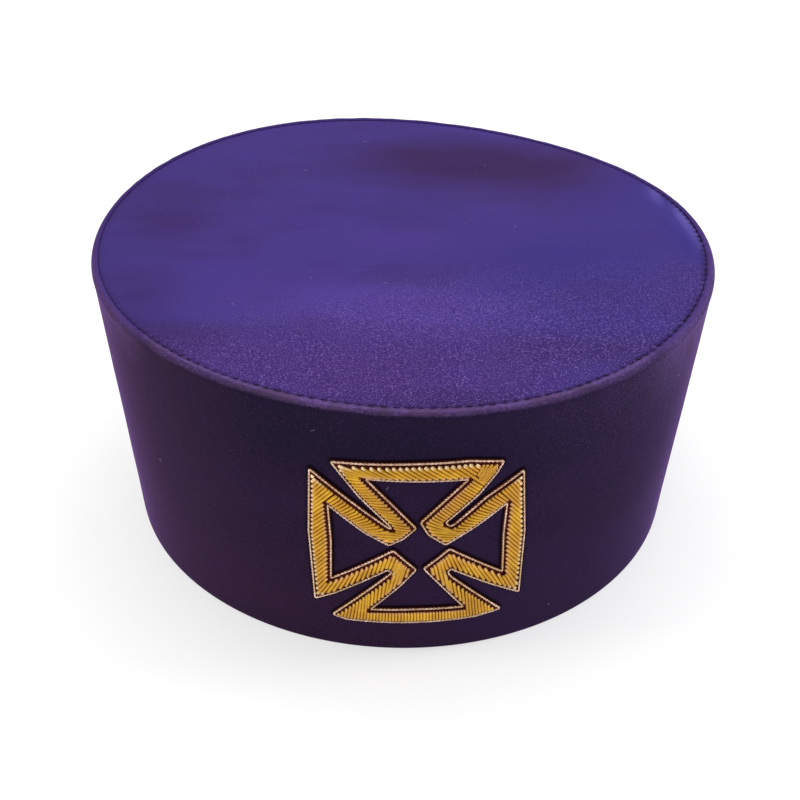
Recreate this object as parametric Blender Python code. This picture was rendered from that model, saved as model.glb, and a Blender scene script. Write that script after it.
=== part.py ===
"""A round flat-topped ceremonial cap: a flared velvet side, a velvet crown panel and a raised gold cross.

Metres, +Z up. The origin is the centre of the bottom edge, and the front faces -Y.
Every piece is first laid out on an even cap. settle() then gives all of them the small unevenness of the
top edge together, so they stay seated on each other.
"""

import math

import bmesh
import bpy

# The cap's own sizes
TOP_RADIUS = 0.1010
BASE_RADIUS = 0.0943
HEIGHT = 0.0946
BAND_THICKNESS = 0.0028
SHOULDER_RADIUS = 0.0021
FOOT_ROUND = 0.0007
CROWN_THICKNESS = 0.0020
CROWN_EDGE_ROUND = 0.0009
CROWN_SINK = 0.0003
SEAM_GAP = 0.0003

# The emblem's own sizes
EMBLEM_HALF = 0.0320
EMBLEM_HEIGHT = 0.0449
EMBLEM_GAP = 0.0003
STRIP_EDGE_RISE = 0.0008
STRIP_CREST_RISE = 0.0017
CORD_DIAMETER = 0.0007
CORD_TURN = 0.0007

# How finely the round shapes are cut
SEGMENTS = 72
SHOULDER_STEPS = 5
FOOT_STEPS = 2
EDGE_STEPS = 3
WALL_STEPS = 5
STRIP_STEP = 0.0062
CORD_STEP = 0.0070
TURN_STEPS = 2

# The rings of the crown, as shares of its radius, on its upper and lower face
UPPER_RINGS = (0.16, 0.32, 0.48, 0.64, 0.80, 0.92)
LOWER_RINGS = (0.25, 0.50, 0.75)

# Slow waves round the top edge: how many go round, their size as a share of HEIGHT, and where the first
# crest lies, in degrees from the front towards the right.
RIM_WAVES = (
    {"waves": 1, "size": 0.0209, "crest": 285.0},
    {"waves": 2, "size": 0.0092, "crest": 63.0},
    {"waves": 3, "size": 0.0100, "crest": 329.0},
)

# Soft dips (negative) and swells of the crown: centre and spread as shares of TOP_RADIUS, depth as a share
# of HEIGHT.
CROWN_DENTS = (
    {"across": 0.34, "back": 0.50, "spread": 0.26, "depth": -0.013},
    {"across": -0.32, "back": 0.24, "spread": 0.36, "depth": 0.011},
    {"across": 0.20, "back": -0.30, "spread": 0.30, "depth": -0.008},
    {"across": -0.44, "back": -0.36, "spread": 0.26, "depth": -0.007},
    {"across": 0.52, "back": -0.10, "spread": 0.24, "depth": 0.007},
)

# Where the two cords of the cross turn or bow, clockwise from the upper arm's left corner, across and up as
# shares of EMBLEM_HALF. The outer cord runs round all four arms and into the closed end of each slit
# between them. The inner cord runs round the open middle, and cuts across it in front of each slit.
EMBLEM_OUTLINE = (
    {"outer": (-0.77, 0.98), "inner": (-0.47, 0.83)},
    {"outer": (-0.04, 1.03), "inner": (-0.01, 0.83)},
    {"outer": (0.74, 1.01), "inner": (0.43, 0.83)},
    {"outer": (0.53, 0.64), "inner": (0.22, 0.58)},
    {"outer": (0.24, 0.32), "inner": (0.02, 0.33)},
    {"outer": (0.28, 0.27), "inner": (0.09, 0.18)},
    {"outer": (0.32, 0.29), "inner": (0.25, 0.04)},
    {"outer": (0.60, 0.59), "inner": (0.53, 0.25)},
    {"outer": (0.92, 0.84), "inner": (0.80, 0.48)},
    {"outer": (0.99, 0.07), "inner": (0.79, 0.09)},
    {"outer": (1.00, -0.76), "inner": (0.81, -0.42)},
    {"outer": (0.31, -0.28), "inner": (0.29, -0.02)},
    {"outer": (0.28, -0.32), "inner": (0.18, -0.14)},
    {"outer": (0.31, -0.38), "inner": (0.06, -0.26)},
    {"outer": (0.82, -0.94), "inner": (0.45, -0.82)},
    {"outer": (0.00, -0.99), "inner": (0.01, -0.81)},
    {"outer": (-0.79, -0.96), "inner": (-0.43, -0.83)},
    {"outer": (-0.25, -0.34), "inner": (-0.01, -0.27)},
    {"outer": (-0.23, -0.31), "inner": (-0.11, -0.16)},
    {"outer": (-0.27, -0.28), "inner": (-0.22, -0.03)},
    {"outer": (-0.96, -0.78), "inner": (-0.80, -0.47)},
    {"outer": (-0.99, 0.10), "inner": (-0.79, 0.03)},
    {"outer": (-0.96, 0.86), "inner": (-0.81, 0.47)},
    {"outer": (-0.27, 0.26), "inner": (-0.26, 0.04)},
    {"outer": (-0.24, 0.25), "inner": (-0.13, 0.13)},
    {"outer": (-0.25, 0.28), "inner": (-0.02, 0.26)},
    {"outer": (-0.53, 0.62), "inner": (-0.24, 0.55)},
)

# Where the strip's section has its points, as shares of its width, and how high, as shares of the rise
# from its edge to its crest
STRIP_SECTION = ((0.0, 0.0), (0.16, 0.68), (0.5, 1.0), (0.84, 0.68), (1.0, 0.0))


def clear_scene():
    for obj in list(bpy.data.objects):
        bpy.data.objects.remove(obj, do_unlink=True)


def material(name, colour, roughness, metallic=0.0):
    made = bpy.data.materials.new(name)
    made.use_nodes = True
    shader = made.node_tree.nodes["Principled BSDF"]
    shader.inputs["Base Color"].default_value = (*colour, 1.0)
    shader.inputs["Roughness"].default_value = roughness
    shader.inputs["Metallic"].default_value = metallic
    return made


def wall_radius(height):
    """The outer radius of the even side at a height."""
    return BASE_RADIUS + (TOP_RADIUS - BASE_RADIUS) * height / HEIGHT


def rim_rise(x, y):
    """How far the waves lift the top at this place, falling away towards the middle like a taut sheet."""
    share = math.hypot(x, y) / TOP_RADIUS
    angle = math.atan2(x, -y)
    rise = 0.0
    for wave in RIM_WAVES:
        turn = wave["waves"] * (angle - math.radians(wave["crest"]))
        rise += wave["size"] * HEIGHT * share ** wave["waves"] * math.cos(turn)
    return rise


def settle(point):
    """Moves a point of the even cap to its place on the real one, which stands flat on its foot."""
    x, y, z = point
    return x, y, z * (1 + rim_rise(x, y) / HEIGHT)


def crown_dent(x, y):
    """The height that the soft dents add to the crown, nothing at its edge."""
    share = math.hypot(x, y) / TOP_RADIUS
    free = max(0.0, 1 - share**4)
    total = 0.0
    for dent in CROWN_DENTS:
        away = math.hypot(x / TOP_RADIUS - dent["across"], y / TOP_RADIUS - dent["back"])
        total += dent["depth"] * HEIGHT * math.exp(-((away / dent["spread"]) ** 2))
    return total * free


def arc(centre, radius, start, end, steps):
    """Points along an arc in the (radius, height) plane, from the start angle to the end angle in degrees."""
    points = []
    for step in range(steps + 1):
        angle = math.radians(start + (end - start) * step / steps)
        points.append((centre[0] + radius * math.cos(angle), centre[1] + radius * math.sin(angle)))
    return points


def turned(name, profile, closed, finish):
    """Spins a profile in the (radius, height) plane into a round solid, and settles it."""
    shape = bmesh.new()
    corners = [shape.verts.new((radius, 0.0, height)) for radius, height in profile]
    lines = [shape.edges.new(pair) for pair in zip(corners, corners[1:])]
    if closed:
        lines.append(shape.edges.new((corners[-1], corners[0])))
    bmesh.ops.spin(
        shape,
        geom=corners + lines,
        axis=(0, 0, 1),
        cent=(0, 0, 0),
        angle=2 * math.pi,
        steps=SEGMENTS,
        use_merge=True,
        use_duplicate=False,
    )
    bmesh.ops.remove_doubles(shape, verts=shape.verts, dist=1e-6)
    bmesh.ops.recalc_face_normals(shape, faces=shape.faces)
    return finished(name, shape, finish)


def finished(name, shape, finish):
    mesh = bpy.data.meshes.new(name)
    shape.to_mesh(mesh)
    shape.free()
    mesh.shade_smooth()
    mesh.set_sharp_from_angle(angle=math.radians(50))
    made = bpy.data.objects.new(name, mesh)
    bpy.context.scene.collection.objects.link(made)
    mesh.materials.append(finish)
    return made


def side_band(finish):
    """The side: a flat foot with rounded corners, a plain inner wall, and a shoulder rolled in to the seam."""
    shoulder = min(SHOULDER_RADIUS, 0.8 * BAND_THICKNESS)
    seam_round = BAND_THICKNESS - shoulder
    foot = min(FOOT_ROUND, 0.3 * BAND_THICKNESS)
    inner_base = BASE_RADIUS - BAND_THICKNESS
    inner_top = TOP_RADIUS - BAND_THICKNESS
    seam_side = arc((inner_top + seam_round, HEIGHT - seam_round), seam_round, 180, 90, EDGE_STEPS)
    roll = arc((TOP_RADIUS - shoulder, HEIGHT - shoulder), shoulder, 90, 0, SHOULDER_STEPS)
    outer_wall = []
    inner_wall = []
    for step in range(1, WALL_STEPS):
        height = HEIGHT * step / WALL_STEPS
        outer_wall.insert(0, (wall_radius(height), height))
        inner_wall.append((wall_radius(height) - BAND_THICKNESS, height))
    profile = arc((BASE_RADIUS - foot, foot), foot, 0, -90, FOOT_STEPS)
    profile += arc((inner_base + foot, foot), foot, -90, -180, FOOT_STEPS)
    profile += inner_wall + seam_side + roll[1:] + outer_wall
    made = turned("side_band", profile, True, finish)
    for corner in made.data.vertices:
        corner.co = settle(corner.co)
    return made


def crown_panel(finish):
    """The top panel: a thin disc with a rounded upper edge, set just inside the seam."""
    top = HEIGHT - CROWN_SINK
    under = top - CROWN_THICKNESS

    def edge_radius(height):
        return wall_radius(height) - BAND_THICKNESS - SEAM_GAP

    round_centre = (edge_radius(top - CROWN_EDGE_ROUND) - CROWN_EDGE_ROUND, top - CROWN_EDGE_ROUND)
    profile = [(0.0, under)]
    profile += [(share * edge_radius(under), under) for share in LOWER_RINGS]
    profile.append((edge_radius(under), under))
    profile += arc(round_centre, CROWN_EDGE_ROUND, 0, 90, EDGE_STEPS)
    profile += [(share * edge_radius(top), top) for share in reversed(UPPER_RINGS)]
    profile.append((0.0, top))
    made = turned("crown_panel", profile, False, finish)
    for corner in made.data.vertices:
        x, y, z = corner.co
        corner.co = settle((x, y, z + crown_dent(x, y)))
    return made


def on_wall(across, up, out):
    """A place on the cap's front: along its curve, up its slope from the emblem's centre, and out from it."""
    slope = math.atan2(TOP_RADIUS - BASE_RADIUS, HEIGHT)
    height = EMBLEM_HEIGHT + up * math.cos(slope)
    angle = across / wall_radius(height)
    radius = wall_radius(height) + out * math.cos(slope)
    return settle((radius * math.sin(angle), -radius * math.cos(angle), height - out * math.sin(slope)))


def cord_loop(side):
    """The line of the outer or the inner cord, in metres in the emblem's own plane."""
    return [(row[side][0] * EMBLEM_HALF, row[side][1] * EMBLEM_HALF) for row in EMBLEM_OUTLINE]


def inset(loop, distance):
    """Moves each side of a clockwise loop to its right by a distance, keeping its corners sharp."""
    moved = []
    for index, (x, y) in enumerate(loop):
        before = loop[index - 1]
        after = loop[(index + 1) % len(loop)]
        come = direction(before, (x, y))
        leave = direction((x, y), after)
        right_come = (come[1], -come[0])
        right_leave = (leave[1], -leave[0])
        reach = distance / (1 + right_come[0] * right_leave[0] + right_come[1] * right_leave[1])
        moved.append((x + (right_come[0] + right_leave[0]) * reach, y + (right_come[1] + right_leave[1]) * reach))
    return moved


def direction(start, end):
    length = math.dist(start, end)
    return (end[0] - start[0]) / length, (end[1] - start[1]) / length


def between(start, end, share):
    return start[0] + (end[0] - start[0]) * share, start[1] + (end[1] - start[1]) * share


def emblem_strip(finish):
    """The padded strip between the two cords: flat behind, domed in front, in one closed band."""
    to_cord = CORD_DIAMETER / 2 + EMBLEM_GAP
    outer = inset(cord_loop("outer"), to_cord)
    inner = inset(cord_loop("inner"), -to_cord)
    rows = []
    for index in range(len(outer)):
        following = (index + 1) % len(outer)
        longest = max(math.dist(outer[index], outer[following]), math.dist(inner[index], inner[following]))
        steps = max(1, round(longest / STRIP_STEP))
        for step in range(steps):
            share = step / steps
            outside = between(outer[index], outer[following], share)
            inside = between(inner[index], inner[following], share)
            rows.append((outside, inside))
    shape = bmesh.new()
    rings = []
    for outside, inside in rows:
        ring = [on_wall(*outside, EMBLEM_GAP)]
        for across, high in STRIP_SECTION:
            rise = STRIP_EDGE_RISE + (STRIP_CREST_RISE - STRIP_EDGE_RISE) * high
            ring.append(on_wall(*between(outside, inside, across), EMBLEM_GAP + rise))
        ring.append(on_wall(*inside, EMBLEM_GAP))
        rings.append([shape.verts.new(place) for place in ring])
    for index, ring in enumerate(rings):
        following = rings[(index + 1) % len(rings)]
        for corner in range(len(ring)):
            turn = (corner + 1) % len(ring)
            shape.faces.new((ring[corner], ring[turn], following[turn], following[corner]))
    bmesh.ops.recalc_face_normals(shape, faces=shape.faces)
    return finished("emblem_strip", shape, finish)


def rounded(loop, radius, steps):
    """Replaces each corner of a closed loop by a short curve that leaves its sides near the radius away."""
    points = []
    for index, corner in enumerate(loop):
        before = loop[index - 1]
        after = loop[(index + 1) % len(loop)]
        start = between(corner, before, min(0.45, radius / math.dist(corner, before)))
        end = between(corner, after, min(0.45, radius / math.dist(corner, after)))
        for step in range(steps + 1):
            share = step / steps
            points.append(between(between(start, corner, share), between(corner, end, share), share))
    return points


def edging_cord(name, loop, finish):
    """A thin cord laid on the wall along a closed loop."""
    path = []
    turns = rounded(loop, CORD_TURN, TURN_STEPS)
    for index, point in enumerate(turns):
        following = turns[(index + 1) % len(turns)]
        steps = max(1, round(math.dist(point, following) / CORD_STEP))
        path += [between(point, following, step / steps) for step in range(steps)]
    curve = bpy.data.curves.new(name, "CURVE")
    curve.dimensions = "3D"
    curve.bevel_depth = CORD_DIAMETER / 2
    curve.bevel_resolution = 1
    spline = curve.splines.new("POLY")
    spline.points.add(len(path) - 1)
    for point, place in zip(spline.points, path):
        point.co = (*on_wall(*place, EMBLEM_GAP + CORD_DIAMETER / 2), 1.0)
    spline.use_cyclic_u = True
    made = bpy.data.objects.new(name, curve)
    bpy.context.scene.collection.objects.link(made)
    curve.materials.append(finish)
    return made


clear_scene()
side_velvet = material("side velvet", (0.028, 0.014, 0.055), 0.9)
crown_velvet = material("crown velvet", (0.075, 0.045, 0.230), 0.9)
gold_wire = material("gold wire", (0.62, 0.36, 0.07), 0.35, 1.0)
cord_wire = material("cord wire", (0.66, 0.46, 0.28), 0.40, 1.0)
side_band(side_velvet)
crown_panel(crown_velvet)
emblem_strip(gold_wire)
edging_cord("emblem_outer_cord", cord_loop("outer"), cord_wire)
edging_cord("emblem_inner_cord", cord_loop("inner"), cord_wire)
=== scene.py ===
"""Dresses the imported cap: a velvet side and crown sewn together by hand, and a cross of gold wire and cord.

Metres, +Z up, front facing -Y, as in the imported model. As in the part's source, every piece is laid out on
an even cap, and settle() then gives all of them the small unevenness of the top edge together.
"""

import math
import random

import bmesh
import bpy
from mathutils import Matrix, Vector, noise


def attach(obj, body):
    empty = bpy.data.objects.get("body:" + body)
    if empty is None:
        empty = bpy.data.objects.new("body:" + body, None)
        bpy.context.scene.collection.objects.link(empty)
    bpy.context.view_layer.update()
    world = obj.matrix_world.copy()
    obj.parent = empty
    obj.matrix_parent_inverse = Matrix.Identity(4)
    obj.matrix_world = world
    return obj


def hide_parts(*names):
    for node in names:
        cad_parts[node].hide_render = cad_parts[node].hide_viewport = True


# The cap's sizes, as in the part's source
TOP_RADIUS = 0.1010
BASE_RADIUS = 0.0943
HEIGHT = 0.0946
BAND_THICKNESS = 0.0028
SHOULDER_RADIUS = 0.0021
FOOT_ROUND = 0.0007
CROWN_THICKNESS = 0.0020
CROWN_SINK = 0.0003
# The waves of its top edge: how many go round, their size as a share of HEIGHT, and where they crest
RIM_WAVES = (
    (1, 0.0209, 285.0),
    (2, 0.0092, 63.0),
    (3, 0.0100, 329.0),
)
# The crown's dents: across, back and spread as shares of TOP_RADIUS, and depth as a share of HEIGHT
CROWN_DENTS = (
    (0.34, 0.50, 0.26, -0.013),
    (-0.32, 0.24, 0.36, 0.011),
    (0.20, -0.30, 0.30, -0.008),
    (-0.44, -0.36, 0.26, -0.007),
    (0.52, -0.10, 0.24, 0.007),
)

# The cross's sizes, as in the part's source. Each row of its outline is a place on the outer cord and the
# one facing it on the inner cord, as shares of EMBLEM_HALF, with some rows more where a cord bows a little.
EMBLEM_HALF = 0.0320
EMBLEM_HEIGHT = 0.0449
EMBLEM_GAP = 0.0003
CORD_DIAMETER = 0.0007
CORD_TURN = 0.0007
OUTER = 0
INNER = 1
EMBLEM_OUTLINE = (
    ((-0.77, 0.98), (-0.47, 0.83)),
    ((-0.04, 1.03), (-0.01, 0.83)),
    ((0.43, 1.045), (0.21, 0.83)),
    ((0.735, 0.995), (0.43, 0.83)),
    ((0.68, 0.87), (0.37, 0.76)),
    ((0.53, 0.64), (0.22, 0.58)),
    ((0.24, 0.32), (0.02, 0.33)),
    ((0.28, 0.27), (0.09, 0.18)),
    ((0.32, 0.29), (0.25, 0.04)),
    ((0.60, 0.59), (0.53, 0.25)),
    ((0.93, 0.84), (0.80, 0.48)),
    ((0.997, 0.07), (0.79, 0.09)),
    ((1.00, -0.76), (0.81, -0.42)),
    ((0.70, -0.555), (0.57, -0.235)),
    ((0.31, -0.28), (0.29, -0.02)),
    ((0.28, -0.32), (0.18, -0.14)),
    ((0.31, -0.38), (0.06, -0.26)),
    ((0.82, -0.94), (0.45, -0.82)),
    ((0.58, -0.98), (0.30, -0.815)),
    ((0.00, -0.99), (0.01, -0.81)),
    ((-0.66, -1.00), (-0.36, -0.825)),
    ((-0.79, -0.96), (-0.43, -0.83)),
    ((-0.42, -0.535), (-0.155, -0.49)),
    ((-0.25, -0.34), (-0.01, -0.27)),
    ((-0.23, -0.31), (-0.11, -0.16)),
    ((-0.27, -0.28), (-0.22, -0.03)),
    ((-0.77, -0.66), (-0.62, -0.335)),
    ((-0.96, -0.78), (-0.80, -0.47)),
    ((-0.995, 0.10), (-0.79, 0.03)),
    ((-0.965, 0.855), (-0.81, 0.47)),
    ((-0.56, 0.51), (-0.48, 0.18)),
    ((-0.27, 0.26), (-0.26, 0.04)),
    ((-0.24, 0.25), (-0.13, 0.13)),
    ((-0.25, 0.28), (-0.02, 0.26)),
    ((-0.53, 0.62), (-0.24, 0.55)),
)

# The hand-sewn seam, and how finely the cloth is cut: three columns of faces for each seam stitch
SEAM_STITCHES = 186
COLUMNS_PER_STITCH = 3
WALL_ROWS = 72
INNER_ROWS = 10
CROWN_RINGS = 30
SEAM_RADIUS = 0.0976
SEAM_ROUND = 0.0004
SEAM_DEPTH = 0.0015
SEAM_CLEAR = 0.00008
SEAM_THREAD_RADIUS = 0.00016
SEAM_STITCH_LEAN = 6.0
SEAM_STITCH_HIDES = 0.0008
SEAM_STITCH = ((-0.00045, 0.00075), (-0.00015, 0.00058), (0.00020, 0.00045), (0.00050, 0.00050))
SEAM_PUCKER = 0.00018
SEAM_ZONE_DOWN = 0.004
SEAM_ZONE_OUT = 0.0030
SEAM_ZONE_IN = 0.006
SEAM_DRIFT_LEFT = 0.0011
SEAM_DRIFT_RIGHT = 0.0006
SEAM_DRIFT_REACH = 0.0016
ROLL_WIDE = 0.0039
ROLL_NARROW = 0.0016
ROLL_ASIDE = 0.0009
ROLL_PROUD = 0.00010
ROLL_CREASE = 0.00016
ROLL_UNEVEN = 0.0005
ROLL_FADE = 0.0013
INNER_SINK = 0.0018
HEM_DEPTH = 0.0080
PROFILE_WRAPS = 0.05
WALL_UNEVEN = 0.00016
WALL_FREE = 0.012
RIM_GRAIN = 0.00012
CROWN_GRAIN = 0.00010
PILE_PRESS = 0.00022
PILE_RELIEF = 0.0002
PRESS_REACH = 0.0006

# Where the crown's nap lies over: its tone, its centre across and back, its spread across and back as shares
# of TOP_RADIUS, and how strongly. Its tones are painted light and shade: plum or rosy where the pile leans
# away from the light, lilac where it leans towards it, bluer on the right, and pale, a painted highlight,
# where it catches the light by the right edge.
NAP_MARKS = (
    ("plum", 0.24, 0.60, 0.44, 0.21, 1.15),
    ("plum", -0.62, 0.50, 0.28, 0.20, 0.08),
    ("rose", -0.14, -0.80, 0.50, 0.18, 1.00),
    ("rose", -0.52, -0.68, 0.26, 0.12, 0.60),
    ("plum", -0.66, -0.62, 0.18, 0.12, 0.40),
    ("plum", -0.80, -0.40, 0.14, 0.22, 0.45),
    ("plum", 0.17, -0.95, 0.30, 0.06, 0.75),
    ("plum", 0.55, -0.70, 0.27, 0.12, 0.60),
    ("plum", 0.05, -0.24, 0.18, 0.07, 0.20),
    ("plum", 0.62, 0.46, 0.28, 0.24, 0.30),
    ("plum", -0.76, 0.12, 0.20, 0.34, 0.48),
    ("lilac", -0.20, -0.40, 0.42, 0.18, 0.80),
    ("lilac", 0.00, -0.02, 0.22, 0.10, 0.45),
    ("lilac", 0.10, -0.48, 0.32, 0.13, 0.85),
    ("lilac", -0.13, -0.85, 0.08, 0.05, 0.60),
    ("lilac", -0.45, 0.00, 0.30, 0.25, 0.35),
    ("blue", 0.58, -0.32, 0.32, 0.32, 0.80),
    ("blue", 0.75, 0.30, 0.25, 0.25, 0.50),
    ("blue", 0.95, 0.05, 0.07, 0.30, 1.00),
    ("pale", 0.962, 0.02, 0.016, 0.15, 0.90),
    ("pale", 0.944, 0.17, 0.016, 0.12, 0.90),
    ("pale", 0.895, 0.34, 0.018, 0.11, 0.70),
)

# The crown's tones: whether the drifting noise adds to one or takes from it, where it starts, and its colour
CROWN_TONES = (
    ("lilac", "ADD", 0.0, (0.062, 0.033, 0.222)),
    ("blue", "ADD", 0.0, (0.029, 0.021, 0.172)),
    ("rose", "SUBTRACT", 0.05, (0.050, 0.018, 0.138)),
    ("plum", "SUBTRACT", 0.05, (0.028, 0.009, 0.060)),
)

# The gold wire stitches: their pitch and thickness, how far they stand out at their ends and at their crest,
# and how far in from a cord the crest is reached. Then the felt pad under them.
WIRE_PITCH = 0.00104
WIRE_RADIUS = 0.00060
WIRE_SHORT = 0.00048
WIRE_LOW = 0.00074
WIRE_CREST = 0.00110
CREST_REACH = 0.0016
WIRE_LONGEST = 0.0125
WIRE_SHORTEST = 0.0006
WIRE_DIP = 0.0003
PAD_CREST = 0.00080
PAD_LOW = 0.0003
PAD_EDGE = 0.00012
# the pad's edge reaches this far past each cord, to show as a strip of painted shadow
PAD_PAST_CORD = CORD_DIAMETER / 2 + 0.0003
PAD_STEP = 0.0011
PAD_SHARES = (0.07, 0.14, 0.24, 0.37, 0.50, 0.63, 0.76, 0.86, 0.93, 1.0)

# Rows of wire stitches. A key gives a place between the two cords, as shares of EMBLEM_HALF, the turn of the
# stitch there, in degrees anticlockwise from level, and how coppery the wire looks there. A row's pitch is a
# factor on WIRE_PITCH and on the thickness of its wire.
WIRE_ROWS = (
    (1.0, (
        (-0.258, 0.062, 3, 0.2), (-0.25, 0.12, 0, 0.2), (-0.21, 0.20, -4, 0.3), (-0.135, 0.27, -9, 0.4),
        (-0.19, 0.36, -10, 0.4), (-0.26, 0.44, -9, 0.3), (-0.36, 0.565, -1, 0.3), (-0.44, 0.67, 6, 0.2),
        (-0.52, 0.77, 4, 0.3), (-0.60, 0.86, -8, 0.2), (-0.60, 0.925, -15, 0.2), (-0.50, 0.925, -22, 0.1),
        (-0.38, 0.925, -29, 0.0))),
    (1.13, (
        (-0.38, 0.925, -29, 0.0), (-0.20, 0.925, -37, 0.0), (0.00, 0.93, -39, 0.0), (0.18, 0.93, -38, 0.0),
        (0.30, 0.93, -42, 0.1), (0.418, 0.925, -45, 0.3), (0.525, 0.985, -47, 0.6))),
    (1.0, (
        (0.507, 0.795, -46, 0.3), (0.44, 0.72, -42, 0.3), (0.375, 0.61, -42, 0.7), (0.30, 0.53, -46, 0.9),
        (0.23, 0.44, -45, 1.0), (0.16, 0.355, -34, 0.6), (0.15, 0.30, -26, 0.3), (0.19, 0.23, -15, 0.1),
        (0.24, 0.15, -6, 0.1), (0.252, 0.062, -2, 0.1))),
    (1.0, (
        (0.345, 0.195, -7, 0.3), (0.45, 0.31, -18, 0.3), (0.53, 0.39, -26, 0.3), (0.61, 0.46, -33, 0.4),
        (0.68, 0.52, -43, 0.7), (0.765, 0.585, -50, 0.8))),
    (1.0, (
        (0.922, 0.832, -62, 0.2), (0.86, 0.70, -59, 0.2), (0.80, 0.62, -54, 0.5), (0.9032, 0.39, -52, 0.1),
        (0.89, 0.27, -54, 0.0), (0.89, 0.08, -54, 0.0), (0.895, -0.25, -53, 0.1),
        (0.895, -0.40, -57, 0.0), (0.905, -0.50, -62, 0.0), (0.91, -0.58, -65, 0.1), (0.83, -0.57, -66, 0.1),
        (0.74, -0.50, -62, 0.0), (0.60, -0.40, -62, 0.0), (0.48, -0.30, -66, 0.0),
        (0.34, -0.18, -69, 0.1), (0.28, -0.16, -73, 0.5), (0.22, -0.19, -77, 0.4),
        (0.16, -0.235, -79, 0.3), (0.09, -0.27, -81, 0.3))),
    (0.93, (
        (0.22, -0.41, -81, 0.1), (0.31, -0.50, -79, 0.0), (0.38, -0.60, -79, 0.0),
        (0.459, -0.69, -84, 0.1))),
    (0.90, (
        (0.78, -0.925, -78, 0.2), (0.63, -0.86, -82, 0.2), (0.48, -0.90, -85, 0.1), (0.00, -0.90, -90, 0.0),
        (-0.45, -0.90, -93, 0.1), (-0.57, -0.86, -97, 0.1), (-0.74, -0.93, -106, 0.1))),
    (0.93, (
        (-0.14, -0.37, -101, 0.1), (-0.27, -0.48, -98, 0.0), (-0.36, -0.60, -95, 0.0),
        (-0.458, -0.71, -93, 0.1))),
    (1.0, (
        (-0.952, 0.842, 56, 0.1), (-0.87, 0.70, 54, 0.1), (-0.81, 0.61, 51, 0.1), (-0.9026, 0.392, 48, 0.1),
        (-0.89, 0.25, 48, 0.0), (-0.89, 0.05, 49, 0.0), (-0.885, -0.20, 52, 0.1),
        (-0.885, -0.38, 53, 0.1), (-0.885, -0.50, 57, 0.0), (-0.88, -0.60, 61, 0.0), (-0.78, -0.55, 64, 0.0),
        (-0.65, -0.45, 67, 0.1), (-0.50, -0.33, 72, 0.1), (-0.38, -0.23, 76, 0.2), (-0.29, -0.16, 75, 0.3),
        (-0.22, -0.165, 75, 0.3), (-0.14, -0.235, 76, 0.2), (-0.04, -0.29, 80, 0.2))),
    (1.0, (
        (-0.345, 0.195, 7, 0.2), (-0.42, 0.27, 15, 0.2), (-0.47, 0.31, 23, 0.2), (-0.57, 0.40, 35, 0.3),
        (-0.66, 0.49, 43, 0.3), (-0.764, 0.581, 48, 0.3))),
)
FAN_START = 0.0006
FAN_NEAREST = 0.003
FILLER_FROM = 0.45
WIRE_FAN = {"hub": (0.49, 0.857), "turn_from": 66, "turn_to": -43, "copper": 0.8, "glow": 0.3}

# The twisted cords: two strands that go once round each other in this length
CORD_LAY = 0.0022
CORD_STEP = 0.0004
STRAND_STEPS = 8
STRAND_RADIUS_SHARE = 0.27
STRAND_OFFSET_SHARE = 0.23

# Loose fibres on the velvet: how many on the side and on the crown, and their size
SIDE_LINT = 26
CROWN_LINT = 14
LINT_RADIUS = 0.000045
LINT_LENGTH = 0.0016
SIDE_LINT_PROUD = 0.00022
CROWN_LINT_PROUD = 0.0002

# The camera, fitted to the photograph's own view
CAMERA_LENS = 58.5
CAMERA_SENSOR = 36.0
CAMERA_AZIMUTH = -2.9
CAMERA_ELEVATION = 35.1
CAMERA_ROLL = 0.62
CAMERA_DISTANCE = 0.4660
CAMERA_TARGET = (-0.00063, 0.0, 0.0286)

# The studio: a large soft light overhead, tall strips at the sides and a weak one in front. Each light has
# its name, place, width, height, power and colour.
FLOOR_HALF = 4.0
FLOOR_GAP = 0.0001
FLOOR_GLOW = 0.55
LIGHTS_AIM = (0.0, 0.0, 0.05)
WORLD_LIGHT = 0.42
STUDIO_LIGHTS = (
    ("overhead_light", (0.0, 0.35, 1.45), 1.7, 1.3, 16.0, (1.0, 1.0, 1.0)),
    ("left_light", (-1.25, -0.15, 0.55), 0.35, 1.1, 4.5, (1.0, 0.97, 0.95)),
    ("right_light", (1.20, 0.05, 0.60), 0.40, 1.1, 6.5, (0.90, 0.92, 1.0)),
    ("front_light", (-0.35, -1.50, 1.05), 0.9, 0.7, 5.0, (1.0, 1.0, 1.0)),
)


def wall_radius(height):
    """The outer radius of the even side at a height."""
    return BASE_RADIUS + (TOP_RADIUS - BASE_RADIUS) * height / HEIGHT


def bell(distance, reach):
    """1 at no distance, falling softly to nearly nothing at twice the reach."""
    return math.exp(-((distance / reach) ** 2))


def held(value):
    """The value, held between 0 and 1."""
    return max(0.0, min(1.0, value))


def round_cap(radius, angle, height):
    """A place on the even cap, at an angle from the middle of its front."""
    return radius * math.sin(angle), -radius * math.cos(angle), height


def rim_rise(x, y):
    """How far the waves lift the top at this place, falling away towards the middle like a taut sheet."""
    share = math.hypot(x, y) / TOP_RADIUS
    angle = math.atan2(x, -y)
    rise = 0.0
    for waves, size, crest in RIM_WAVES:
        rise += size * HEIGHT * share**waves * math.cos(waves * (angle - math.radians(crest)))
    return rise


def settle(point):
    """Moves a point of the even cap to its place on the real one, which stands flat on its foot."""
    x, y, z = point
    return Vector((x, y, z * (1 + rim_rise(x, y) / HEIGHT)))


def crown_dent(x, y):
    """The height that the soft dents add to the crown, nothing at its edge."""
    total = 0.0
    for across, back, spread, depth in CROWN_DENTS:
        away = math.hypot(x / TOP_RADIUS - across, y / TOP_RADIUS - back)
        total += depth * HEIGHT * bell(away, spread)
    return total * max(0.0, 1 - (math.hypot(x, y) / TOP_RADIUS) ** 4)


def step_from(place, angle, far):
    """The place this far from another in a plane, in a direction."""
    return place[0] + far * math.cos(angle), place[1] + far * math.sin(angle)


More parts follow.
